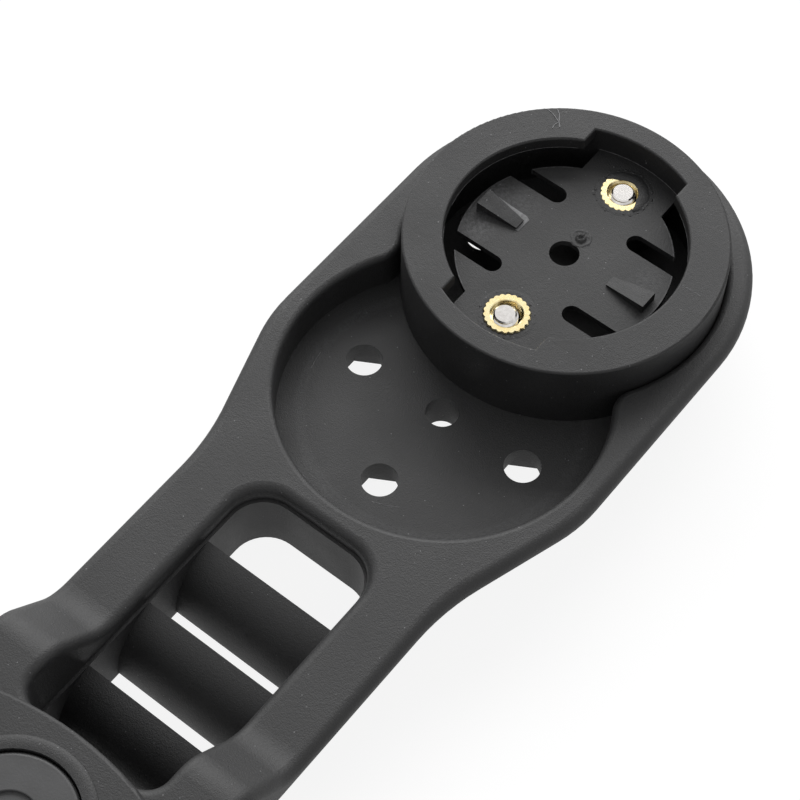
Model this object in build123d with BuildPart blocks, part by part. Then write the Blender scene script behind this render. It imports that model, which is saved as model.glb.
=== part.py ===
from build123d import *
import os

# Out-front mount for a bike computer: a moulded arm with two round seats in its
# head, and a quarter-turn puck that is screwed into the far seat.
# The origin is the middle of the near seat's floor, +X runs along the arm to the
# head's tip, and +Z is up. All sizes are in millimetres.

os.makedirs("parts", exist_ok=True)

# Seats, screw pattern and head
puck_radius = 18.1
puck_clearance = 0.1
screw_edge_distance = 7.2
seat_depth = 4.95
seat_plate = 4.8
seat_rim_width = 2.95
seat_cusp_radius = 3.0
seat_edge_radius = 0.7
screw_hole_radius = 2.05
centre_hole_radius = 1.85
hex_pocket_width = 5.6
hex_pocket_depth = 2.5

# Arm outline and section
arm_half_width = 15.9
neck_gap = 2.15
neck_run = 16.4
neck_radius = 28.0
shoulder_radius = 18.0
side_height = 1.6
side_draft_angle = 24.0
arm_edge_radius = 1.25
underside_edge_radius = 1.6

# Slot and its louvre ribs
slot_length = 34.3
slot_half_width = 8.2
slot_bridge = 2.9
slot_front_corner = 4.0
slot_back_corner = 2.2
slot_edge_radius = 1.1
slot_draft_angle = 0.8
ledge_width = 0.35
ledge_drop = 1.95
rib_count = 3
rib_first_gap = 8.0
rib_pitch = 9.05
rib_nose_run = 3.8
rib_nose_drop = 2.3
rib_reach = 5.55
rib_thickness = 1.6

# Raised base with its capped end
base_rise = 5.95
slope_foot_reach = 11.4
slope_run = 6.3
slope_foot_radius = 5.0
slope_brow_radius = 4.5
cap_rise = 0.6
cap_reach = 10.6
cap_front_radius = 38.0
cap_edge_radius = 0.5

# Bolt in the base, and the crest around its counterbore
bolt_radius = 4.0
bolt_length = 12.0
bolt_tip_chamfer = 0.6
bolt_hole_clearance = 0.25
bolt_head_radius = 7.0
bolt_head_height = 4.0
bolt_head_edge_radius = 0.5
bolt_head_clearance = 0.12
bolt_dish_radius = 3.0
bolt_dish_depth = 0.35
bolt_dish_edge_radius = 0.15
crest_width = 1.8
crest_height = 0.3
crest_peak_gap = 0.6

# Quarter-turn puck
puck_height = 9.35
puck_wall = 2.7
puck_edge_radius = 0.25
lip_width = 1.9
lip_thickness = 1.5
lip_edge_radius = 0.25
notch_half_width = 6.2
floor_drop = 3.35
floor_thickness = 0.8
floor_gap = 3.2
ear_half_width = 5.45
tongue_half_width = 4.95
tongue_slot_width = 2.25
tongue_slot_start = 4.35
wedge_start = 6.15
wedge_start_width = 1.4
wedge_start_height = 0.25
wedge_end_gap = 0.9
wedge_end_width = 2.4
wedge_end_height = 1.2
puck_hole_radius = 1.7
insert_boss_radius = 4.8

# Brass inserts and the screws in them
insert_radius = 2.7
insert_length = 5.0
insert_stands = {"near": 0.5, "far": 0.05}
insert_knurls = 22
insert_knurl_radius = 0.3
insert_knurl_depth = 0.22
insert_mouth_radius = 1.82
insert_mouth_depth = 1.2
insert_groove_width = 0.8
insert_groove_depth = 0.35
screw_radius = 1.5
screw_clearance = 0.06
screw_length = 8.9
screw_tip_radius = 0.6
screw_head_height = 2.0
screw_head_clearance = 0.08
screw_socket_width = 2.0
screw_socket_depth = 1.2

# Places that follow from the sizes above
through = 1.0
edge_tolerance = 0.01
screw_circle_radius = puck_radius - screw_edge_distance
seat_spacing = 2 * screw_circle_radius
seat_radius = puck_radius + puck_clearance
head_radius = seat_radius + seat_rim_width
far_seat_x = seat_spacing
slot_front_x = -(seat_radius + slot_bridge)
cap_front_x = slot_front_x - slot_length
bolt_x = cap_front_x - cap_reach
neck_start_x = -(seat_radius + neck_gap)
neck_end_x = neck_start_x + neck_run
slope_foot_x = cap_front_x + slope_foot_reach
slope_brow_x = slope_foot_x - slope_run
arm_top_z = seat_depth
underside_z = -seat_plate
parting_z = arm_top_z - side_height
ledge_z = arm_top_z - ledge_drop
plateau_z = arm_top_z + base_rise
cap_top_z = plateau_z + cap_rise
hex_seat_z = underside_z + hex_pocket_depth
channel_radius = puck_radius - puck_wall
lip_radius = channel_radius - lip_width
floor_radius = channel_radius - floor_gap
floor_top_z = puck_height - floor_drop
floor_bottom_z = floor_top_z - floor_thickness
bolt_seat_z = cap_top_z - bolt_head_height
bolt_hole_radius = bolt_radius + bolt_hole_clearance
counterbore_radius = bolt_head_radius + bolt_head_clearance
screw_places = [
    (-screw_circle_radius, 0),
    (screw_circle_radius, 0),
    (far_seat_x + screw_circle_radius, 0),
]
for seat_x in (0, far_seat_x):
    screw_places += [(seat_x, screw_circle_radius), (seat_x, -screw_circle_radius)]
insert_places = {
    "near": far_seat_x - screw_circle_radius,
    "far": far_seat_x + screw_circle_radius,
}


def outline_sketch(inset=0.0):
    """Plan of the arm: round tail, straight rails, neck and long head."""
    tail = arm_half_width - inset
    head = head_radius - inset
    with BuildSketch() as outline:
        with BuildLine():
            FilletPolyline(
                (bolt_x, tail),
                (neck_start_x, tail),
                (neck_end_x, head),
                (far_seat_x, head),
                radius=(neck_radius, shoulder_radius),
            )
            CenterArc((far_seat_x, 0), head, 0, 90)
            CenterArc((bolt_x, 0), tail, 90, 90)
            Line((bolt_x - tail, 0), (far_seat_x + head, 0))
        make_face()
        mirror(about=Plane.XZ)
    return outline.sketch


def cap_circle(mode):
    """The large circle whose front is both the cap's edge and the slot's end."""
    with Locations((cap_front_x - cap_front_radius, 0)):
        Circle(cap_front_radius, mode=mode)


def slot_sketch(step=0.0):
    """Plan of the slot, a step wider all round but at the cap's front arc."""
    with BuildSketch() as slot:
        with Locations(((slot_front_x + step + bolt_x) / 2, 0)):
            Rectangle(slot_front_x + step - bolt_x, 2 * (slot_half_width + step))
        cap_circle(Mode.SUBTRACT)
        fillet(slot.vertices().group_by(Axis.X)[-1], slot_front_corner + step)
        fillet(slot.vertices().group_by(Axis.X)[0], slot_back_corner + step)
    return slot.sketch


with BuildPart() as mount_arm:
    # Straight-sided upper half, trimmed to the side view's top line
    with BuildSketch(Plane.XY.offset(parting_z)):
        add(outline_sketch())
    extrude(amount=plateau_z - parting_z)
    with BuildSketch(Plane.XZ):
        with BuildLine():
            top_line = FilletPolyline(
                (far_seat_x + head_radius + through, arm_top_z),
                (slope_foot_x, arm_top_z),
                (slope_brow_x, plateau_z),
                (bolt_x - arm_half_width - through, plateau_z),
                radius=(slope_foot_radius, slope_brow_radius),
            )
            Polyline(
                top_line @ 1,
                ((top_line @ 1).X, parting_z),
                ((top_line @ 0).X, parting_z),
                top_line @ 0,
            )
        make_face()
    extrude(amount=head_radius + through, both=True, mode=Mode.INTERSECT)
    upper_edges = mount_arm.edges().filter_by_position(
        Axis.Z, arm_top_z - edge_tolerance, plateau_z + edge_tolerance
    )
    fillet(
        upper_edges - upper_edges.filter_by(Axis.Y) - upper_edges.filter_by(Axis.Z),
        arm_edge_radius,
    )

    # Lower half, drafted in below the parting line
    with BuildSketch(Plane((0, 0, parting_z), x_dir=(1, 0, 0), z_dir=(0, 0, -1))):
        add(outline_sketch())
    extrude(amount=parting_z - underside_z, taper=side_draft_angle)
    fillet(mount_arm.faces().sort_by(Axis.Z)[0].edges(), underside_edge_radius)

    # Slot, ending at the cap's front arc: drafted below a ledge, straight above it
    with BuildSketch(Plane((0, 0, ledge_z), x_dir=(1, 0, 0), z_dir=(0, 0, -1))):
        add(slot_sketch())
    extrude(amount=ledge_z - underside_z + through, taper=-slot_draft_angle, mode=Mode.SUBTRACT)
    with BuildSketch(Plane.XY.offset(ledge_z)):
        add(slot_sketch(ledge_width))
    extrude(amount=plateau_z - ledge_z + through, mode=Mode.SUBTRACT)
    slot_edges = mount_arm.edges(Select.LAST).filter_by_position(
        Axis.Z, arm_top_z - edge_tolerance, plateau_z + edge_tolerance
    )
    fillet(slot_edges - slot_edges.filter_by(Axis.Z), slot_edge_radius)

    # Quarter-round louvres across the slot
    for rib in range(rib_count):
        lip_x = slot_front_x - rib_first_gap - rib * rib_pitch
        foot_x = lip_x - rib_reach
        nose_x = lip_x - rib_nose_run
        nose_z = ledge_z - rib_nose_drop
        with BuildSketch(Plane.XZ):
            with BuildLine():
                ThreePointArc((lip_x, ledge_z), (nose_x, nose_z), (foot_x, underside_z))
                Line((foot_x, underside_z), (foot_x + rib_thickness, underside_z))
                ThreePointArc(
                    (foot_x + rib_thickness, underside_z),
                    (nose_x + rib_thickness, nose_z - rib_thickness),
                    (lip_x, ledge_z - rib_thickness),
                )
                Line((lip_x, ledge_z - rib_thickness), (lip_x, ledge_z))
            make_face()
        extrude(amount=slot_half_width + through, both=True)

    # Cap over the end of the base, with a crest around the bolt
    with BuildSketch(Plane.XY.offset(plateau_z - through)):
        add(outline_sketch(arm_edge_radius))
        cap_circle(Mode.INTERSECT)
    extrude(amount=cap_rise + through)
    fillet(mount_arm.faces().sort_by(Axis.Z)[-1].edges(), cap_edge_radius)
    with BuildSketch(Plane.XZ):
        with Locations((bolt_x + counterbore_radius + crest_peak_gap, cap_top_z)):
            Ellipse(crest_width / 2, crest_height)
    revolve(axis=Axis((bolt_x, 0, 0), (0, 0, 1)))
    with Locations((bolt_x, 0, cap_top_z + crest_height)):
        CounterBoreHole(
            bolt_hole_radius,
            counterbore_radius,
            bolt_head_height + crest_height,
        )

    # Both seats, as one pocket with soft cusps
    with BuildSketch(Plane.XY):
        with Locations((0, 0), (far_seat_x, 0)):
            Circle(seat_radius)
    extrude(amount=arm_top_z + through, mode=Mode.SUBTRACT)
    cusp_x = seat_spacing / 2
    seat_walls = mount_arm.edges(Select.LAST).filter_by(Axis.Z)
    fillet(
        seat_walls.filter_by_position(Axis.X, cusp_x - edge_tolerance, cusp_x + edge_tolerance),
        seat_cusp_radius,
    )
    fillet(
        mount_arm.edges(Select.LAST).filter_by_position(
            Axis.Z, arm_top_z - edge_tolerance, arm_top_z + edge_tolerance
        ),
        seat_edge_radius,
    )

    # Screw holes with hex pockets below, and the seats' centre holes
    with Locations(*screw_places):
        Hole(screw_hole_radius)
    with Locations((0, 0), (far_seat_x, 0)):
        Hole(centre_hole_radius)
    with BuildSketch(Plane.XY.offset(underside_z)):
        with Locations(*screw_places):
            RegularPolygon(hex_pocket_width / 2, 6, major_radius=False)
    extrude(amount=hex_pocket_depth, mode=Mode.SUBTRACT)

mount_arm.part.label = "mount_arm"
export_step(mount_arm.part, "parts/mount_arm.step")


with BuildPart() as puck:
    puck_base = Plane((far_seat_x, 0, 0))
    # Wall, and the lip with its two notches
    with BuildSketch(puck_base):
        Circle(puck_radius)
        Circle(channel_radius, mode=Mode.SUBTRACT)
    extrude(amount=puck_height)
    with BuildSketch(puck_base.offset(puck_height - lip_thickness)):
        Circle((channel_radius + puck_radius) / 2)
        Circle(lip_radius, mode=Mode.SUBTRACT)
        Rectangle(2 * puck_radius, 2 * notch_half_width, mode=Mode.SUBTRACT)
    extrude(amount=lip_thickness)
    fillet(puck.faces().sort_by(Axis.Z)[-1].outer_wire().edges(), puck_edge_radius)
    fillet(puck.faces().sort_by(Axis.Z)[-1].inner_wires()[0].edges(), lip_edge_radius)

    # Floor with its ears, cut into two spring tongues
    with BuildSketch(puck_base.offset(floor_bottom_z)):
        Circle(floor_radius)
        Rectangle(channel_radius + puck_radius, 2 * ear_half_width)
        slot_x = tongue_half_width + tongue_slot_width / 2
        slot_length = 2 * (floor_radius - tongue_slot_start)
        slot_y = tongue_slot_start + slot_length / 2
        with Locations(*[(x, y) for x in (-slot_x, slot_x) for y in (-slot_y, slot_y)]):
            SlotOverall(slot_length, tongue_slot_width, rotation=90, mode=Mode.SUBTRACT)
        Circle(puck_hole_radius, mode=Mode.SUBTRACT)
    extrude(amount=floor_thickness)

    # Bosses that stand on the seat's floor and hold the inserts
    with BuildSketch(puck_base):
        with Locations((-screw_circle_radius, 0), (screw_circle_radius, 0)):
            Circle(insert_boss_radius)
    extrude(amount=floor_bottom_z)
    for name, x in insert_places.items():
        with Locations((x, 0, floor_top_z)):
            CounterBoreHole(
                screw_radius + screw_clearance,
                insert_radius,
                insert_length - insert_stands[name],
            )

    # A ramp on each tongue
    for side in (-1, 1):
        for y, width, rise in (
            (wedge_start, wedge_start_width, wedge_start_height),
            (floor_radius - wedge_end_gap, wedge_end_width, wedge_end_height),
        ):
            section = Plane(
                (far_seat_x, side * y, floor_top_z - floor_thickness / 2),
                x_dir=(1, 0, 0),
                z_dir=(0, -1, 0),
            )
            with BuildSketch(section):
                Rectangle(width, floor_thickness / 2 + rise, align=(Align.CENTER, Align.MIN))
        loft()

puck.part.label = "puck"
export_step(puck.part, "parts/puck.step")


for name, x in insert_places.items():
    insert_top_z = floor_top_z + insert_stands[name]
    with BuildPart() as insert:
        with BuildSketch(Plane((x, 0, insert_top_z - insert_length))):
            Circle(insert_radius)
            with PolarLocations(insert_radius + insert_knurl_radius - insert_knurl_depth, insert_knurls):
                Circle(insert_knurl_radius, mode=Mode.SUBTRACT)
        extrude(amount=insert_length)
        with Locations((x, 0, insert_top_z)):
            CounterBoreHole(screw_radius + screw_clearance, insert_mouth_radius, insert_mouth_depth)
        with BuildSketch(Plane((x, 0, insert_top_z - (insert_length + insert_groove_width) / 2))):
            Circle(insert_radius)
            Circle(insert_radius - insert_groove_depth, mode=Mode.SUBTRACT)
        extrude(amount=insert_groove_width, mode=Mode.SUBTRACT)
    insert.part.label = f"{name}_insert"
    export_step(insert.part, f"parts/{name}_insert.step")

    with BuildPart() as screw:
        with BuildSketch(Plane((x, 0, hex_seat_z - screw_head_height))):
            Circle(hex_pocket_width / 2 - screw_head_clearance)
            RegularPolygon(screw_socket_width / 2, 6, major_radius=False, mode=Mode.SUBTRACT)
        extrude(amount=screw_socket_depth)
        with BuildSketch(Plane((x, 0, hex_seat_z - screw_head_height + screw_socket_depth))):
            Circle(hex_pocket_width / 2 - screw_head_clearance)
        extrude(amount=screw_head_height - screw_socket_depth)
        with BuildSketch(Plane((x, 0, hex_seat_z))):
            Circle(screw_radius)
        extrude(amount=screw_length)
        fillet(screw.faces().sort_by(Axis.Z)[-1].edges(), screw_tip_radius)
    screw.part.label = f"{name}_screw"
    export_step(screw.part, f"parts/{name}_screw.step")


with BuildPart() as base_bolt:
    with BuildSketch(Plane((bolt_x, 0, bolt_seat_z))):
        Circle(bolt_head_radius)
    extrude(amount=bolt_head_height)
    fillet(base_bolt.faces().sort_by(Axis.Z)[-1].edges(), bolt_head_edge_radius)
    with BuildSketch(Plane((bolt_x, 0, cap_top_z - bolt_dish_depth))):
        Circle(bolt_dish_radius)
    extrude(amount=bolt_dish_depth, mode=Mode.SUBTRACT)
    fillet(base_bolt.faces().sort_by(Axis.Z)[-1].inner_wires()[0].edges(), bolt_dish_edge_radius)
    with BuildSketch(Plane((bolt_x, 0, bolt_seat_z - bolt_length))):
        Circle(bolt_radius)
    extrude(amount=bolt_length)
    chamfer(base_bolt.faces().sort_by(Axis.Z)[0].edges(), bolt_tip_chamfer)

base_bolt.part.label = "base_bolt"
export_step(base_bolt.part, "parts/base_bolt.step")
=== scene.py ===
import math
import random

import bmesh
import bpy
from mathutils import Matrix, Vector


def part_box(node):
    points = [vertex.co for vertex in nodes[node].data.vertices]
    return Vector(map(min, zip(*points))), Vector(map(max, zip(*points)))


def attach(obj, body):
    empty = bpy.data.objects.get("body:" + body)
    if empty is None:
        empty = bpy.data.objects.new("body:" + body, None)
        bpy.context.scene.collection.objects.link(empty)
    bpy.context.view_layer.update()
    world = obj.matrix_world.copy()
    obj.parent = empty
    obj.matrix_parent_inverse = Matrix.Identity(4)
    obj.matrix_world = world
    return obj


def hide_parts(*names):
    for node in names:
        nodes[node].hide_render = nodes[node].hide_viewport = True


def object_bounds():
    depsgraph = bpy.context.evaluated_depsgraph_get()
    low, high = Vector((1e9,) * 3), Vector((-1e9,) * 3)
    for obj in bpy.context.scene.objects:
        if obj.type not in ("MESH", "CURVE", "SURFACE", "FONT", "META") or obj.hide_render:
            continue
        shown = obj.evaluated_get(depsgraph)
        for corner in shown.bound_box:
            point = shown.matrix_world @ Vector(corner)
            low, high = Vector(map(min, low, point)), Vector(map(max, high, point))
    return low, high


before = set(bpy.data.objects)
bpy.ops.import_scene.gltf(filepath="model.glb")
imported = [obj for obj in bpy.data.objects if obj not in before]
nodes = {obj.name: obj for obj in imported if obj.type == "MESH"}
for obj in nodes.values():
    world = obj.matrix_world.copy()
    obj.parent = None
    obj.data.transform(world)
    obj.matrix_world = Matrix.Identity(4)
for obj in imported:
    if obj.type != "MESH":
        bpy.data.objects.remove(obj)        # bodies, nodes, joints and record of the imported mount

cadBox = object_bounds()
scene = bpy.context.scene
mm = 0.001
puckX = 21.8 * mm        # middle of the far seat, which carries the puck
puckFloorZ = 6.0 * mm    # top of the puck's floor
weldDistance = 0.001 * mm      # vertices nearer than this become one


def say(stage):
    print("mount:", stage)


# node helpers for the materials

def startMaterial(name):
    mat = bpy.data.materials.new(name)
    mat.use_nodes = True
    tree = mat.node_tree
    return mat, tree, tree.nodes["Principled BSDF"]


def addNode(tree, kind, **values):
    node = tree.nodes.new(kind)
    for key, value in values.items():
        if hasattr(node, key):
            setattr(node, key, value)
        else:
            node.inputs[key.replace("_", " ")].default_value = value
    return node


def maths(tree, operation, first, second=None):
    node = addNode(tree, "ShaderNodeMath", operation=operation)
    for socket, value in zip(node.inputs, (first, second)):
        if isinstance(value, (int, float)):
            socket.default_value = value
        elif value is not None:
            tree.links.new(value, socket)
    return node.outputs[0]


def vectorMaths(tree, operation, first, second=None):
    node = addNode(tree, "ShaderNodeVectorMath", operation=operation)
    for socket, value in zip(node.inputs, (first, second)):
        if isinstance(value, tuple):
            socket.default_value = value
        elif value is not None:
            tree.links.new(value, socket)
    return node


def objectPlace(tree):
    return addNode(tree, "ShaderNodeTexCoord").outputs["Object"]


def objectNoise(tree, scale, detail=2.0, roughness=0.5):
    noise = addNode(tree, "ShaderNodeTexNoise", Scale=scale, Detail=detail, Roughness=roughness)
    tree.links.new(objectPlace(tree), noise.inputs["Vector"])
    return noise.outputs["Fac"]


def spread(tree, source, low, high, start=0.0, end=1.0):
    span = addNode(tree, "ShaderNodeMapRange", From_Min=start, From_Max=end, To_Min=low, To_Max=high)
    tree.links.new(source, span.inputs["Value"])
    return span.outputs["Result"]


def mixColour(tree, share, under, over):
    mix = addNode(tree, "ShaderNodeMix", data_type="RGBA")
    tree.links.new(share, mix.inputs[0])
    for socket, value in ((mix.inputs[6], under), (mix.inputs[7], over)):
        if isinstance(value, tuple):
            socket.default_value = (*value, 1.0)
        else:
            tree.links.new(value, socket)
    return mix.outputs[2]


def bumpFrom(tree, height, strength, distance, below=None):
    bump = addNode(tree, "ShaderNodeBump", Strength=strength, Distance=distance)
    tree.links.new(height, bump.inputs["Height"])
    if below is not None:
        tree.links.new(below, bump.inputs["Normal"])
    return bump.outputs["Normal"]


def dustDots(tree, scale, radii, share):
    # one round speck in some of the cells
    cells = addNode(tree, "ShaderNodeTexVoronoi", Scale=scale)
    tree.links.new(objectPlace(tree), cells.inputs["Vector"])
    parts = addNode(tree, "ShaderNodeSeparateColor")
    tree.links.new(cells.outputs["Color"], parts.inputs[0])
    chosen = maths(tree, "LESS_THAN", parts.outputs[0], share)
    size = spread(tree, parts.outputs[1], *radii)
    near = maths(tree, "LESS_THAN", cells.outputs["Distance"], size)
    return maths(tree, "MULTIPLY", chosen, near)


def ringMask(tree, radius, halfWidth, soft, topZ, middleX=0.0, leastY=-1.0):
    # a ring round a seat's middle, below the given height and at least so far to the side: worn plastic, or
    # a painted highlight along an edge
    place = objectPlace(tree)
    centred = vectorMaths(tree, "SUBTRACT", place, (middleX, 0.0, 0.0)).outputs["Vector"]
    flat = vectorMaths(tree, "MULTIPLY", centred, (1.0, 1.0, 0.0)).outputs["Vector"]
    reach = vectorMaths(tree, "LENGTH", flat).outputs["Value"]
    off = maths(tree, "ABSOLUTE", maths(tree, "SUBTRACT", reach, radius))
    band = spread(tree, off, 1.0, 0.0, halfWidth, halfWidth + soft)
    parts = addNode(tree, "ShaderNodeSeparateXYZ")
    tree.links.new(place, parts.inputs[0])
    low = maths(tree, "MULTIPLY", band, maths(tree, "LESS_THAN", parts.outputs["Z"], topZ))
    beside = maths(tree, "GREATER_THAN", maths(tree, "ABSOLUTE", parts.outputs["Y"]), leastY)
    return maths(tree, "MULTIPLY", low, beside)


def spotMask(tree, spot, radius, soft):
    away = vectorMaths(tree, "DISTANCE", objectPlace(tree), spot).outputs["Value"]
    return spread(tree, away, 1.0, 0.0, radius, radius + soft)


# black moulded plastic of the arm and of the puck
mouldedLook = {
    "arm": {
        "colour": (0.0105, 0.0105, 0.011),
        "paler": (0.015, 0.015, 0.0155),
        "roughness": (0.54, 0.62),
        "gloss": 0.5,
        "grainScale": 6200.0,
        "grainHeight": 0.06 * mm,
        "grainStrength": 0.9,
        "dustShare": 0.22,
    },
    "puck": {
        "colour": (0.0095, 0.0095, 0.010),
        "paler": (0.014, 0.014, 0.0145),
        "roughness": (0.52, 0.60),
        "gloss": 0.41,
        "grainScale": 7400.0,
        "grainHeight": 0.05 * mm,
        "grainStrength": 0.8,
        "dustShare": 0.30,
    },
    "cloudScale": 160.0,
    "cloudDetail": 4.0,
    "cloudRange": (0.3, 0.7),
    "dustScale": 1400.0,
    "dustRadii": (0.055, 0.11),
    "dustColour": (0.17, 0.17, 0.175),
    # pale colour of rubbed plastic, also used for the painted highlight along the puck floor's edge
    "rubbedAndHighlightColour": (0.095, 0.095, 0.098),
    "mottleScale": 2500.0,
    "mottleHeight": 0.05 * mm,
    "mottleStrength": 0.6,
    "fineDetail": 3.0,
    "fineRoughness": 0.6,
}

# where earlier pucks and computers have rubbed the plastic, and a painted highlight along the edge of the
# puck's floor
rubbedAndHighlightLook = {
    "patchScale": 2300.0,
    "patchDetail": 4.0,
    "patchRoughness": 0.65,
    "patchShare": (0.15, 1.0),
    "patchRange": (0.38, 0.62),
    # painted highlight: a pale ring along the edge of the puck's floor
    "floorEdgeHighlight": {
        "radius": 12.12 * mm,
        "halfWidth": 0.04 * mm,
        "soft": 0.06 * mm,
        "topZ": 6.1 * mm,
        "leastY": 6.3 * mm,
        "share": 0.9,
    },
    "seatRing": {
        "radius": 15.6 * mm,
        "halfWidth": 0.35 * mm,
        "soft": 0.5 * mm,
        "topZ": 0.4 * mm,
        "share": 0.22,
    },
    "tongueSpots": [      # place, radius, soft edge and share of each
        ((18.9 * mm, 10.4 * mm, puckFloorZ), 0.9 * mm, 2.4 * mm, 0.85),
        ((24.3 * mm, 8.6 * mm, puckFloorZ), 1.0 * mm, 2.6 * mm, 0.5),
        ((24.0 * mm, 11.0 * mm, puckFloorZ), 0.8 * mm, 1.8 * mm, 0.75),
        ((24.2 * mm, -9.4 * mm, puckFloorZ), 0.6 * mm, 2.2 * mm, 0.32),
        ((19.9 * mm, -10.4 * mm, puckFloorZ), 0.4 * mm, 1.8 * mm, 0.25),
    ],
}


# rubbed wear on the seat and the tongues, and the painted highlight round the edge of the puck's floor
def rubbedAndHighlightShare(tree, name):
    look = rubbedAndHighlightLook
    noise = objectNoise(tree, look["patchScale"], look["patchDetail"], look["patchRoughness"])
    patchy = spread(tree, noise, *look["patchShare"], *look["patchRange"])
    if name == "arm":
        ring = look["seatRing"]
        mask = ringMask(tree, ring["radius"], ring["halfWidth"], ring["soft"], ring["topZ"])
        return maths(tree, "MULTIPLY", maths(tree, "MULTIPLY", mask, ring["share"]), patchy)
    edge = look["floorEdgeHighlight"]
    mask = ringMask(
        tree, edge["radius"], edge["halfWidth"], edge["soft"], edge["topZ"], puckX, edge["leastY"]
    )
    total = maths(tree, "MULTIPLY", mask, edge["share"])
    for spot, radius, soft, share in look["tongueSpots"]:
        mask = maths(tree, "MULTIPLY", spotMask(tree, spot, radius, soft), share)
        total = maths(tree, "MAXIMUM", total, mask)
    return maths(tree, "MULTIPLY", total, patchy)


def mouldedPlastic(name, lookName):
    both = mouldedLook        # what the two plastics share
    look = mouldedLook[lookName]
    mat, tree, shader = startMaterial(name)
    cloud = objectNoise(tree, both["cloudScale"], both["cloudDetail"])
    paler = spread(tree, cloud, 0.0, 1.0, *both["cloudRange"])
    base = mixColour(tree, paler, look["colour"], look["paler"])
    # rubbed wear, and a painted highlight round the edge of the puck's floor
    paleAndHighlight = rubbedAndHighlightShare(tree, lookName)
    base = mixColour(tree, paleAndHighlight, base, both["rubbedAndHighlightColour"])
    dust = dustDots(tree, both["dustScale"], both["dustRadii"], look["dustShare"])
    base = mixColour(tree, dust, base, both["dustColour"])
    tree.links.new(base, shader.inputs["Base Color"])
    roughness = spread(tree, cloud, *look["roughness"], *both["cloudRange"])
    tree.links.new(roughness, shader.inputs["Roughness"])
    shader.inputs["Specular IOR Level"].default_value = look["gloss"]
    mottle = objectNoise(tree, both["mottleScale"], both["fineDetail"], both["fineRoughness"])
    mottled = bumpFrom(tree, mottle, both["mottleStrength"], both["mottleHeight"])
    grain = objectNoise(tree, look["grainScale"], both["fineDetail"], both["fineRoughness"])
    tree.links.new(
        bumpFrom(tree, grain, look["grainStrength"], look["grainHeight"], mottled),
        shader.inputs["Normal"],
    )
    return mat


# turned brass and bright steel
metalLook = {
    "brass": {"colour": (0.86, 0.76, 0.46), "darker": (0.72, 0.58, 0.30), "roughness": (0.15, 0.25)},
    "steel": {"colour": (0.72, 0.70, 0.68), "darker": (0.55, 0.53, 0.51), "roughness": (0.11, 0.20)},
    "scuffScale": 1500.0,
    "scuffDetail": 3.0,
    "toneRange": (0.38, 0.6),
    "shineRange": (0.3, 0.7),
    "scuffHeight": 0.02 * mm,
    "scuffStrength": 0.35,
}


def metal(name, lookName):
    look = metalLook[lookName]
    mat, tree, shader = startMaterial(name)
    shader.inputs["Metallic"].default_value = 1.0
    scuff = objectNoise(tree, metalLook["scuffScale"], metalLook["scuffDetail"])
    share = spread(tree, scuff, 0.0, 1.0, *metalLook["toneRange"])
    tree.links.new(mixColour(tree, share, look["darker"], look["colour"]), shader.inputs["Base Color"])
    bright, dull = look["roughness"]
    roughness = spread(tree, scuff, dull, bright, *metalLook["shineRange"])
    tree.links.new(roughness, shader.inputs["Roughness"])
    tree.links.new(
        bumpFrom(tree, scuff, metalLook["scuffStrength"], metalLook["scuffHeight"]),
        shader.inputs["Normal"],
    )
    return mat


# satin black finish of the base's bolt
boltLook = {
    "colour": (0.052, 0.052, 0.053),
    "paler": (0.068, 0.068, 0.070),
    "roughness": (0.46, 0.56),
    "cloudScale": 420.0,
    "cloudDetail": 4.0,
    "cloudRange": (0.3, 0.7),
    "grainScale": 3800.0,
    "grainDetail": 3.0,
    "grainRoughness": 0.6,
    "grainHeight": 0.03 * mm,
    "grainStrength": 0.5,
}


def satinBlack(name):
    look = boltLook
    mat, tree, shader = startMaterial(name)
    cloud = objectNoise(tree, look["cloudScale"], look["cloudDetail"])
    share = spread(tree, cloud, 0.0, 1.0, *look["cloudRange"])
    tree.links.new(mixColour(tree, share, look["colour"], look["paler"]), shader.inputs["Base Color"])
    roughness = spread(tree, cloud, *look["roughness"], *look["cloudRange"])
    tree.links.new(roughness, shader.inputs["Roughness"])
    grain = objectNoise(tree, look["grainScale"], look["grainDetail"], look["grainRoughness"])
    grained = bumpFrom(tree, grain, look["grainStrength"], look["grainHeight"])
    tree.links.new(grained, shader.inputs["Normal"])
    return mat


# matt pale finishes: lint and scratches, and pale plastic that also paints highlight lines along the puck's
# edges
paleLook = {
    "lint": {
        "colours": ((0.46, 0.46, 0.47), (0.26, 0.26, 0.27)),
        "scale": 3000.0,
        "detail": 2.0,
        "range": (0.0, 1.0),
        "roughness": 0.8,
    },
    # pale plastic of the tongue's strip, and of the painted highlight lines on the puck's lip and notch
    # wall
    "paleAndHighlight": {
        "colours": ((0.075, 0.075, 0.078), (0.17, 0.17, 0.175)),
        "scale": 2600.0,
        "detail": 3.0,
        "range": (0.35, 0.65),
        "roughness": 0.5,
    },
}


def paleFinish(name, lookName):
    look = paleLook[lookName]
    mat, tree, shader = startMaterial(name)
    patchy = spread(tree, objectNoise(tree, look["scale"], look["detail"]), 0.0, 1.0, *look["range"])
    tree.links.new(mixColour(tree, patchy, *look["colours"]), shader.inputs["Base Color"])
    shader.inputs["Roughness"].default_value = look["roughness"]
    return mat


armPlastic = mouldedPlastic("armPlastic", "arm")
puckPlastic = mouldedPlastic("puckPlastic", "puck")
brass = metal("knurledBrass", "brass")
steel = metal("screwSteel", "steel")
boltSatin = satinBlack("boltSatin")
lint = paleFinish("paleLint", "lint")
paleAndHighlightPlastic = paleFinish("paleAndHighlightPlastic", "paleAndHighlight")
say("materials made")


def dress(nodeName, mat):
    node = nodes[nodeName]
    node.data.materials.clear()
    node.data.materials.append(mat)


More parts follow.
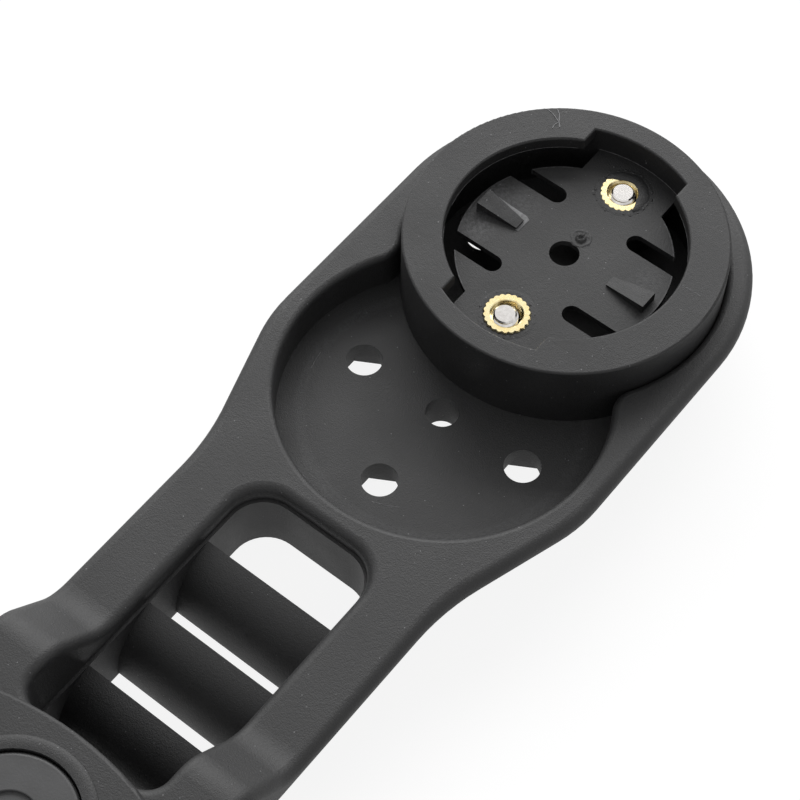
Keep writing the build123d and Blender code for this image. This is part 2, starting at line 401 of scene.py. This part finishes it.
dress("mount_arm", armPlastic)
dress("puck", puckPlastic)
for side in ("near", "far"):
    dress(f"{side}_insert", brass)
    dress(f"{side}_screw", steel)
dress("base_bolt", boltSatin)
say("nodes dressed")


def makePiece(shape, name, mat, smoothAngle):
    mesh = bpy.data.meshes.new(name)
    shape.to_mesh(mesh)
    shape.free()
    mesh.shade_smooth()
    mesh.set_sharp_from_angle(angle=math.radians(smoothAngle))
    mesh.materials.append(mat)
    piece = bpy.data.objects.new(name, mesh)
    scene.collection.objects.link(piece)
    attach(piece, "root")
    return piece


def nodeMiddle(nodeName):
    # middle on the floor plane, lowest and highest height, radius
    low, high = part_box(nodeName)
    return Vector(((low.x + high.x) / 2, (low.y + high.y) / 2, 0.0)), low.z, high.z, (high.x - low.x) / 2


# knurled brass inserts: round lobes outside, a turned mouth that leads to the bore
insertSet = {
    "shift": {"near": (0.36 * mm, 0.05 * mm, -0.28 * mm), "far": (0.10 * mm, -0.22 * mm, 0.02 * mm)},
    "lobes": 22,
    "stepsPerLobe": 8,
    "lobeDepth": 0.17 * mm,
    "rimChamfer": 0.12 * mm,
    "mouthRadius": 1.79 * mm,
    "mouthLip": 0.10 * mm,
    "throatRadius": 1.64 * mm,
    "throatDepth": 0.85 * mm,
    "boreRadius": 1.56 * mm,
    "boreDepth": 0.935 * mm,
    "grooveFoot": 1.9 * mm,
    "grooveWidth": 0.8 * mm,
    "grooveDepth": 0.4 * mm,
    "smoothAngle": 32,
}


def insertMiddle(side):
    # the same for an insert, where the real one sits in the puck
    alongX, alongY, lift = insertSet["shift"][side]
    middle, bottom, top, radius = nodeMiddle(f"{side}_insert")
    return middle + Vector((alongX, alongY, 0)), bottom + lift, top + lift, radius


def makeInsert(side):
    s = insertSet
    middle, bottom, top, radius = insertMiddle(side)
    shape = bmesh.new()
    first = bmesh.ops.create_circle(shape, segments=s["lobes"] * s["stepsPerLobe"], radius=radius)["verts"]
    angles = [math.atan2(v.co.y, v.co.x) for v in first]

    def settle(verts, ringRadius, z, lobed):
        for v, angle in zip(verts, angles):
            dent = s["lobeDepth"] * (1 - abs(math.cos(s["lobes"] / 2 * angle))) if lobed else 0.0
            v.co = middle + Vector((math.cos(angle), math.sin(angle), 0)) * (ringRadius - dent)
            v.co.z = z

    grooveTop = top - s["grooveFoot"]
    grooveEnd = grooveTop - s["grooveWidth"]
    chamfer = s["rimChamfer"]
    rings = [      # radius, height and whether it is lobed
        (radius, top - chamfer, True),
        (radius - chamfer, top, True),
        (s["mouthRadius"] + s["mouthLip"], top, False),
        (s["mouthRadius"], top - s["mouthLip"], False),
        (s["throatRadius"], top - s["throatDepth"], False),
        (s["boreRadius"], top - s["boreDepth"], False),
        (s["boreRadius"], bottom, False),
        (radius - chamfer, bottom, True),
        (radius, bottom + chamfer, True),
        (radius, grooveEnd, True),
        (radius - s["grooveDepth"], grooveEnd, False),
        (radius - s["grooveDepth"], grooveTop, False),
        (radius, grooveTop, True),
    ]
    settle(first, *rings[0])
    verts = list(first)
    firstEdges = list({e for v in verts for e in v.link_edges})
    edges = firstEdges
    for ring in rings[1:]:
        new = bmesh.ops.extrude_edge_only(shape, edges=edges)["geom"]
        newVerts = [g for g in new if isinstance(g, bmesh.types.BMVert)]
        grown = [g for g in new if isinstance(g, bmesh.types.BMEdge)]
        newEdges = [e for e in grown if all(v in newVerts for v in e.verts)]
        # the new loop keeps the old loop's order, so each vertex takes the angle of the one it grew from
        order = {}
        for edge in {e for v in newVerts for e in v.link_edges}:
            a, b = edge.verts
            if (a in newVerts) != (b in newVerts):
                fresh, old = (a, b) if a in newVerts else (b, a)
                order[old] = fresh
        verts = [order[v] for v in verts]
        settle(verts, *ring)
        edges = newEdges
    bmesh.ops.bridge_loops(shape, edges=firstEdges + edges)
    bmesh.ops.recalc_face_normals(shape, faces=shape.faces)
    piece = makePiece(shape, f"{side}InsertBrass", brass, s["smoothAngle"])
    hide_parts(f"{side}_insert")


for side in ("near", "far"):
    makeInsert(side)
say("inserts knurled")


# threaded screw ends in the inserts; heads and shanks keep the CAD shape
threadSet = {
    "cutBelowTop": 2.6 * mm,
    "rootRadius": 1.22 * mm,
    "crestRadius": 1.47 * mm,
    "pitch": 0.5 * mm,
    "rootHalf": 0.225 * mm,
    "crestHalf": 0.05 * mm,
    "turns": 5,
    "stepsPerTurn": 40,
    "pointRun": 0.16 * mm,
    "pointRadius": 1.12 * mm,
    "pointStep": 0.06 * mm,
    "threadSink": 0.08 * mm,
    "threadBelowPoint": 0.02 * mm,
    "tops": {"near": 6.66 * mm, "far": 6.28 * mm},
    "lean": {"near": (-0.03 * mm, 0.02 * mm), "far": (-0.04 * mm, -0.26 * mm)},
    "smoothAngle": 30,
}


def makeScrew(side):
    s = threadSet
    middle, _, cadTop, _ = nodeMiddle(f"{side}_screw")
    shape = bmesh.new()
    shape.from_mesh(nodes[f"{side}_screw"].data)
    bmesh.ops.remove_doubles(shape, verts=shape.verts, dist=weldDistance)
    cutZ = cadTop - s["cutBelowTop"]
    everything = shape.verts[:] + shape.edges[:] + shape.faces[:]
    cut = bmesh.ops.bisect_plane(
        shape, geom=everything, plane_co=(0, 0, cutZ), plane_no=(0, 0, 1), clear_outer=True
    )
    rim = [g for g in cut["geom_cut"] if isinstance(g, bmesh.types.BMEdge)]
    bmesh.ops.edgeloop_fill(shape, edges=rim)

    # core of the threaded end, with its small point
    topZ = s["tops"][side]
    coreTop = topZ - s["pointRun"]
    coreFoot = cutZ - s["pitch"]
    core = bmesh.ops.create_cone(
        shape, cap_ends=True, segments=s["stepsPerTurn"], radius1=s["rootRadius"],
        radius2=s["rootRadius"], depth=coreTop - coreFoot,
    )["verts"]
    bmesh.ops.translate(shape, verts=core, vec=(middle.x, middle.y, (coreTop + coreFoot) / 2))
    point = bmesh.ops.create_cone(
        shape, cap_ends=True, segments=s["stepsPerTurn"], radius1=s["rootRadius"] + s["pointStep"],
        radius2=s["pointRadius"], depth=s["pointRun"],
    )["verts"]
    bmesh.ops.translate(shape, verts=point, vec=(middle.x, middle.y, topZ - s["pointRun"] / 2))

    # one thread section, wound down from just under the point
    startZ = coreTop - s["rootHalf"] - s["threadBelowPoint"]
    inner = s["rootRadius"] - s["threadSink"]
    section = [
        (inner, -s["rootHalf"]),
        (s["rootRadius"], -s["rootHalf"]),
        (s["crestRadius"], -s["crestHalf"]),
        (s["crestRadius"], s["crestHalf"]),
        (s["rootRadius"], s["rootHalf"]),
        (inner, s["rootHalf"]),
    ]
    corners = [shape.verts.new((middle.x + r, middle.y, startZ + z)) for r, z in section]
    face = shape.faces.new(corners)
    steps = s["turns"] * s["stepsPerTurn"]
    bmesh.ops.spin(
        shape, geom=[face, *face.edges, *corners], cent=(middle.x, middle.y, 0), axis=(0, 0, 1),
        dvec=(0, 0, -s["pitch"] / s["stepsPerTurn"]), angle=-2 * math.pi * s["turns"], steps=steps,
        use_duplicate=False,
    )
    # the free end leans a little in its clearance
    lean = Vector((*s["lean"][side], 0))
    for v in shape.verts:
        if v.co.z > cutZ - s["pitch"] * s["turns"]:
            share = max(0.0, min(1.0, (v.co.z - cutZ) / (topZ - cutZ)))
            v.co += lean * share
    bmesh.ops.recalc_face_normals(shape, faces=shape.faces)
    piece = makePiece(shape, f"{side}ScrewThreaded", steel, s["smoothAngle"])
    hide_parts(f"{side}_screw")


for side in ("near", "far"):
    makeScrew(side)
say("screws threaded")


# pale strip round the foot of the left tongue's ramp
stripSet = {
    "outline": [      # in mm
        (23.58, 11.18), (23.36, 8.40), (23.30, 6.30), (23.06, 5.72),
        (21.00, 5.78), (21.00, 6.20), (22.40, 6.20), (22.92, 11.18),
    ],
    "sink": 0.02 * mm,
    "height": 0.07 * mm,
    "edge": 0.025 * mm,
    "edgeSteps": 2,
    "smoothAngle": 60,
}


def makeStrip():
    s = stripSet
    shape = bmesh.new()
    foot = puckFloorZ - s["sink"]
    corners = [shape.verts.new((x * mm, y * mm, foot)) for x, y in s["outline"]]
    face = shape.faces.new(corners)
    grown = bmesh.ops.extrude_face_region(shape, geom=[face])["geom"]
    top = [g for g in grown if isinstance(g, bmesh.types.BMVert)]
    bmesh.ops.translate(shape, verts=top, vec=(0, 0, s["height"]))
    rim = [e for e in shape.edges if all(v in top for v in e.verts)]
    bmesh.ops.bevel(
        shape, geom=rim, offset=s["edge"], segments=s["edgeSteps"], profile=0.5, affect="EDGES", material=-1
    )
    bmesh.ops.recalc_face_normals(shape, faces=shape.faces)
    makePiece(shape, "leftTongueStrip", paleAndHighlightPlastic, s["smoothAngle"])


makeStrip()
say("rubbed strip added")


# mark left by the mould's gate beside the puck's middle hole
gateSet = {
    "place": (24.62 * mm, -0.23 * mm, puckFloorZ),
    "profile": [      # radius and height in mm
        (1.30, -0.03), (1.22, 0.02), (1.06, 0.05), (0.94, 0.02), (0.76, -0.02), (0.64, 0.03),
        (0.54, 0.20), (0.40, 0.25), (0.27, 0.17), (0.12, 0.0), (0.0, -0.02),
    ],
    "steps": 40,
    "weldDistance": 0.002 * mm,
    "torn": 0.045 * mm,
    "tornBand": (0.2 * mm, 1.25 * mm),
    "seed": 5,
    "smoothAngle": 60,
}


def makeGateMark():
    s = gateSet
    shape = bmesh.new()
    centre = Vector(s["place"])
    line = [shape.verts.new(centre + Vector((r * mm, 0, z * mm))) for r, z in s["profile"]]
    edges = [shape.edges.new(pair) for pair in zip(line, line[1:])]
    bmesh.ops.spin(
        shape, geom=line + edges, cent=centre, axis=(0, 0, 1), angle=2 * math.pi,
        steps=s["steps"], use_merge=True,
    )
    bmesh.ops.remove_doubles(shape, verts=shape.verts, dist=s["weldDistance"])
    rng = random.Random(s["seed"])
    tornFrom, tornTo = s["tornBand"]
    for v in shape.verts:
        off = v.co - centre
        if tornFrom < off.to_2d().length < tornTo:
            v.co += Vector((rng.uniform(-1, 1), rng.uniform(-1, 1), rng.uniform(-1, 1))) * s["torn"]
    rim = [e for e in shape.edges if e.is_boundary]
    bmesh.ops.holes_fill(shape, edges=rim, sides=0)
    bmesh.ops.recalc_face_normals(shape, faces=shape.faces)
    makePiece(shape, "gateMark", puckPlastic, s["smoothAngle"])


makeGateMark()
say("gate mark added")


# plastic that welled up round the hot inserts, and lies over part of the far one
flashSet = {
    "farStart": math.radians(-122),
    "farSweep": math.radians(203),
    "farSteps": 64,
    "farProfile": [      # radius and height in mm, like the collar's
        (1.72, -0.03), (1.72, 0.084), (1.86, 0.14), (2.72, 0.112), (3.02, -0.03),
    ],
    "farLift": 0.02 * mm,
    "farTaper": 0.20,
    "farLeastEnd": 0.06,
    "farDrawBack": 1.6,
    "farSmoothAngle": 50,
    "waveCount": 5,
    "waveSizes": (0.5, 1.0),
    "waveRates": (5, 17),
    "waveShifts": (0, 6.28),
    "waveHeight": 0.028 * mm,
    "waveAtInner": 0.5,
    "waveLift": 0.35,
    "collar": [(2.30, -0.03), (2.30, 0.02), (2.95, 0.03), (3.25, 0.015), (3.45, -0.02)],
    "collarSteps": 96,
    "beadRadius": (0.09 * mm, 0.19 * mm),
    "beadRing": {"near": (2.86 * mm, 3.08 * mm), "far": (2.98 * mm, 3.4 * mm)},
    "beadCount": {"near": 14, "far": 22},
    "beadShuffle": 0.3,
    "beadStretch": 0.6,
    "beadFlat": 0.42,
    "beadTurn": 1.57,      # radians, long side along the ring
    "beadSteps": 2,
    "seed": 11,
    "smoothAngle": 60,
}


def makeFarFlash():
    s = flashSet
    middle, _, _, radius = insertMiddle("far")
    shape = bmesh.new()
    rng = random.Random(s["seed"])
    foot = puckFloorZ + s["farLift"]
    innerEdge, outerEdge = s["farProfile"][0][0] * mm, s["farProfile"][-1][0] * mm
    verts = [shape.verts.new((r * mm, 0, foot + z * mm)) for r, z in s["farProfile"]]
    face = shape.faces.new(verts)
    bmesh.ops.spin(
        shape, geom=[face, *face.edges, *verts], cent=(0, 0, 0), axis=(0, 0, 1), angle=s["farSweep"],
        steps=s["farSteps"], use_duplicate=False,
    )
    kinds = (s["waveSizes"], s["waveRates"], s["waveShifts"])
    waves = [[rng.uniform(*kind) for kind in kinds] for _ in range(s["waveCount"])]
    for v in shape.verts:
        angle = math.atan2(v.co.y, v.co.x) % (2 * math.pi)
        along = angle / s["farSweep"]
        ends = min(1.0, min(along, 1.0 - along) / s["farTaper"] + s["farLeastEnd"])
        share = (v.co.to_2d().length - innerEdge) / (outerEdge - innerEdge)
        wave = sum(size * math.sin(rate * angle + shift) for size, rate, shift in waves) * s["waveHeight"]
        # towards its two ends the flash draws back to the insert's outer edge
        inner = innerEdge + (radius - innerEdge) * (1 - ends) ** s["farDrawBack"]
        reach = inner + (outerEdge - inner) * share + wave * (s["waveAtInner"] + share)
        v.co.x = reach * math.cos(angle)
        v.co.y = reach * math.sin(angle)
        if v.co.z > foot:
            v.co.z += wave * s["waveLift"]
    turn = Matrix.Rotation(s["farStart"], 3, "Z")
    bmesh.ops.rotate(shape, verts=shape.verts, cent=(0, 0, 0), matrix=turn)
    bmesh.ops.translate(shape, verts=shape.verts, vec=middle)
    bmesh.ops.recalc_face_normals(shape, faces=shape.faces)
    makePiece(shape, "farInsertFlash", puckPlastic, s["farSmoothAngle"])


def makeCollar(side):
    # closes the plastic up to the brass all round
    s = flashSet
    middle = insertMiddle(side)[0]
    shape = bmesh.new()
    line = [shape.verts.new((middle.x + r * mm, middle.y, puckFloorZ + z * mm)) for r, z in s["collar"]]
    edges = [shape.edges.new(pair) for pair in zip(line, line[1:] + line[:1])]
    bmesh.ops.spin(
        shape, geom=line + edges, cent=middle, axis=(0, 0, 1), angle=2 * math.pi,
        steps=s["collarSteps"], use_merge=True,
    )
    bmesh.ops.recalc_face_normals(shape, faces=shape.faces)
    makePiece(shape, f"{side}InsertCollar", puckPlastic, s["smoothAngle"])


def makeBeads(side):
    s = flashSet
    middle = insertMiddle(side)[0]
    shape = bmesh.new()
    rng = random.Random(s["seed"] + len(side))
    count, shuffle = s["beadCount"][side], s["beadShuffle"]
    for step in range(count):
        angle = 2 * math.pi * (step + rng.uniform(-shuffle, shuffle)) / count
        ring = rng.uniform(*s["beadRing"][side])
        size = rng.uniform(*s["beadRadius"])
        place = middle + Vector((ring * math.cos(angle), ring * math.sin(angle), puckFloorZ))
        bead = bmesh.ops.create_icosphere(shape, subdivisions=s["beadSteps"], radius=size)["verts"]
        stretch = 1.0 + rng.uniform(0, s["beadStretch"])
        bmesh.ops.scale(shape, verts=bead, vec=(stretch, 1.0, s["beadFlat"]))
        turn = Matrix.Rotation(angle + s["beadTurn"], 3, "Z")
        bmesh.ops.rotate(shape, verts=bead, cent=(0, 0, 0), matrix=turn)
        bmesh.ops.translate(shape, verts=bead, vec=place)
    makePiece(shape, f"{side}InsertBeads", puckPlastic, s["smoothAngle"])


makeFarFlash()
for side in ("near", "far"):
    makeCollar(side)
    makeBeads(side)
say("melted edges added")


# thin pale lines that paint the highlight along the lip's edge and at the foot of the notch wall
edgeHighlightSet = {
    "arcs": [
        {"radius": 13.49 * mm, "z": 7.87 * mm, "start": 30, "sweep": 76, "thick": 0.030 * mm},
        {"radius": 13.49 * mm, "z": 7.87 * mm, "start": 119, "sweep": 30, "thick": 0.035 * mm},
        {"radius": 13.49 * mm, "z": 7.87 * mm, "start": -62, "sweep": 28, "thick": 0.030 * mm},
        {"radius": 15.38 * mm, "z": 6.02 * mm, "start": -21, "sweep": 42, "thick": 0.032 * mm},
    ],
    "sides": 8,
    "degreesPerStep": 2,
    "smoothAngle": 60,
}


def makeEdgeHighlights():
    s = edgeHighlightSet
    shape = bmesh.new()
    middle = (puckX, 0, 0)
    upright = Matrix.Rotation(math.radians(90), 3, "X")
    for arc in s["arcs"]:
        made = bmesh.ops.create_circle(shape, cap_ends=True, segments=s["sides"], radius=arc["thick"])
        ring = made["verts"]
        bmesh.ops.rotate(shape, verts=ring, cent=(0, 0, 0), matrix=upright)
        bmesh.ops.translate(shape, verts=ring, vec=(puckX + arc["radius"], 0, arc["z"]))
        start = Matrix.Rotation(math.radians(arc["start"]), 3, "Z")
        bmesh.ops.rotate(shape, verts=ring, cent=middle, matrix=start)
        face = ring[0].link_faces[0]
        steps = arc["sweep"] // s["degreesPerStep"]
        bmesh.ops.spin(
            shape, geom=[face, *face.edges, *ring], cent=middle, axis=(0, 0, 1),
            angle=math.radians(arc["sweep"]), steps=steps, use_duplicate=False,
        )
    bmesh.ops.recalc_face_normals(shape, faces=shape.faces)
    makePiece(shape, "puckEdgeHighlights", paleAndHighlightPlastic, s["smoothAngle"])


makeEdgeHighlights()
# these are the painted highlight lines along the lip and the notch wall
say("mould seams added")


# lint and a scratch on the puck's rim, a speck on its notch wall, two scratches in the near seat
lintSet = {
    "strands": [      # in mm, like the scratches
        [(34.81, 12.08), (34.74, 11.52), (34.53, 10.94), (34.31, 10.49), (34.11, 10.04)],
        [(35.53, 11.28), (35.19, 10.82), (34.72, 10.40), (34.11, 10.04)],
        [(34.11, 10.04), (33.71, 10.17), (33.31, 10.21), (32.96, 10.08)],
        [(34.11, 10.04), (33.56, 9.52)],
    ],
    "height": 9.37 * mm,
    "radius": 0.045 * mm,
    "rimScratch": [(24.20, -13.60), (24.28, -14.50), (24.30, -15.40), (24.26, -16.10)],
    "rimScratchHeight": 9.355 * mm,
    "seatScratches": [
        [(-2.28, 15.30), (-3.34, 15.13), (-4.57, 14.79)],
        [(-13.49, -0.99), (-13.04, -2.43), (-12.26, -3.71)],
    ],
    "seatScratchHeight": 0.006 * mm,
    "scratchRadius": 0.018 * mm,
    "speck": (37.19 * mm, -0.16 * mm, 7.0 * mm),
    "speckRadius": 0.06 * mm,
    "speckSteps": 2,
    "smoothAngle": 60,
}


def makeStrands(name, strands, height, radius, specks=()):
    curve = bpy.data.curves.new(name, "CURVE")
    curve.dimensions = "3D"
    curve.bevel_depth = radius
    curve.bevel_resolution = 1
    curve.use_fill_caps = True
    for strand in strands:
        spline = curve.splines.new("NURBS")
        spline.points.add(len(strand) - 1)
        for point, (x, y) in zip(spline.points, strand):
            point.co = (x * mm, y * mm, height, 1.0)
        spline.order_u = 3
        spline.use_endpoint_u = True
    maker = bpy.data.objects.new(f"{name}Curve", curve)
    mesh = bpy.data.meshes.new_from_object(maker)
    bpy.data.objects.remove(maker)
    shape = bmesh.new()
    shape.from_mesh(mesh)
    bmesh.ops.remove_doubles(shape, verts=shape.verts, dist=weldDistance)      # closes the strands' ends
    for place in specks:
        ball = bmesh.ops.create_icosphere(
            shape, subdivisions=lintSet["speckSteps"], radius=lintSet["speckRadius"]
        )["verts"]
        bmesh.ops.translate(shape, verts=ball, vec=place)
    bmesh.ops.recalc_face_normals(shape, faces=shape.faces)
    makePiece(shape, name, lint, lintSet["smoothAngle"])


makeStrands("rimLint", lintSet["strands"], lintSet["height"], lintSet["radius"], [lintSet["speck"]])
makeStrands("rimScratch", [lintSet["rimScratch"]], lintSet["rimScratchHeight"], lintSet["scratchRadius"])
makeStrands(
    "seatScratches", lintSet["seatScratches"], lintSet["seatScratchHeight"], lintSet["scratchRadius"],
)
say("lint and scratches added")


# pale studio: floor, white surroundings and one soft lamp
studio = {
    "floorSize": 6.0,
    "floorGap": 0.02 * mm,
    "floorColour": (0.20, 0.20, 0.20),
    "floorRoughness": 0.9,
    "floorGlow": 0.88,
    "worldLight": 0.24,
    "keySize": (1.75, 0.85),
    "keyDistance": 1.5,
    "keyAzimuth": 33.0,
    "keyElevation": 30.5,
    "keyRadiance": 6.1,
}


def pathSeesWhite(tree):
    path = tree.nodes.new("ShaderNodeLightPath")
    seen = maths(tree, "MAXIMUM", path.outputs["Is Camera Ray"], path.outputs["Is Glossy Ray"])
    return maths(tree, "MAXIMUM", seen, path.outputs["Is Transmission Ray"])


def makeFloor(bottom):
    mesh = bpy.data.meshes.new("studioFloor")
    shape = bmesh.new()
    bmesh.ops.create_grid(shape, x_segments=1, y_segments=1, size=studio["floorSize"] / 2)
    bmesh.ops.translate(shape, verts=shape.verts, vec=(0, 0, bottom))
    shape.to_mesh(mesh)
    shape.free()
    floor = bpy.data.objects.new("studioFloor", mesh)
    scene.collection.objects.link(floor)
    mat, tree, shader = startMaterial("studioFloor")
    shader.inputs["Base Color"].default_value = (*studio["floorColour"], 1.0)
    shader.inputs["Roughness"].default_value = studio["floorRoughness"]
    shader.inputs["Specular IOR Level"].default_value = 0.0
    shader.inputs["Emission Color"].default_value = (1, 1, 1, 1)
    glow = maths(tree, "MULTIPLY", pathSeesWhite(tree), studio["floorGlow"])
    tree.links.new(glow, shader.inputs["Emission Strength"])
    mesh.materials.append(mat)


def makeWorld():
    world = bpy.data.worlds.new("studioWorld")
    scene.world = world
    world.use_nodes = True
    tree = world.node_tree
    background = tree.nodes["Background"]
    background.inputs["Color"].default_value = (1, 1, 1, 1)
    span = spread(tree, pathSeesWhite(tree), studio["worldLight"], 1.0)
    tree.links.new(span, background.inputs["Strength"])


def softLamp(name, azimuth, elevation, distance, size, radiance):
    around, up = math.radians(azimuth), math.radians(elevation)
    away = Vector((math.cos(around) * math.cos(up), math.sin(around) * math.cos(up), math.sin(up)))
    data = bpy.data.lights.new(name, "AREA")
    data.shape = "RECTANGLE"
    data.size, data.size_y = size
    data.energy = radiance * math.pi * size[0] * size[1]
    lamp = bpy.data.objects.new(name, data)
    lamp.location = away * distance
    lamp.rotation_euler = (-away).to_track_quat("-Z", "Y").to_euler()
    scene.collection.objects.link(lamp)


makeFloor(cadBox[0][2] - studio["floorGap"])
makeWorld()
softLamp(
    "keyLamp", studio["keyAzimuth"], studio["keyElevation"], studio["keyDistance"],
    studio["keySize"], studio["keyRadiance"],
)
say("studio lit")


# camera at the photograph's angle: looks down along the arm from behind the base
cameraSet = {
    "place": (-105.19 * mm, -74.57 * mm, 206.80 * mm),
    "aim": (-1.642 * mm, 4.568 * mm, 0.0),
    "rollDegrees": 1.169,
    "lens": 100.68,
    "sensor": 36.0,
    "clipStart": 0.01,
}


def makeCamera():
    data = bpy.data.cameras.new("photoCamera")
    data.lens = cameraSet["lens"]
    data.sensor_width = cameraSet["sensor"]
    data.clip_start = cameraSet["clipStart"]
    camera = bpy.data.objects.new("photoCamera", data)
    place = Vector(cameraSet["place"])
    turn = (Vector(cameraSet["aim"]) - place).to_track_quat("-Z", "Y").to_matrix()
    roll = Matrix.Rotation(math.radians(cameraSet["rollDegrees"]), 3, "Z")
    camera.matrix_world = Matrix.Translation(place) @ (turn @ roll).to_4x4()
    scene.collection.objects.link(camera)
    scene.camera = camera


makeCamera()
scene.view_settings.view_transform = "Standard"
say("camera set")
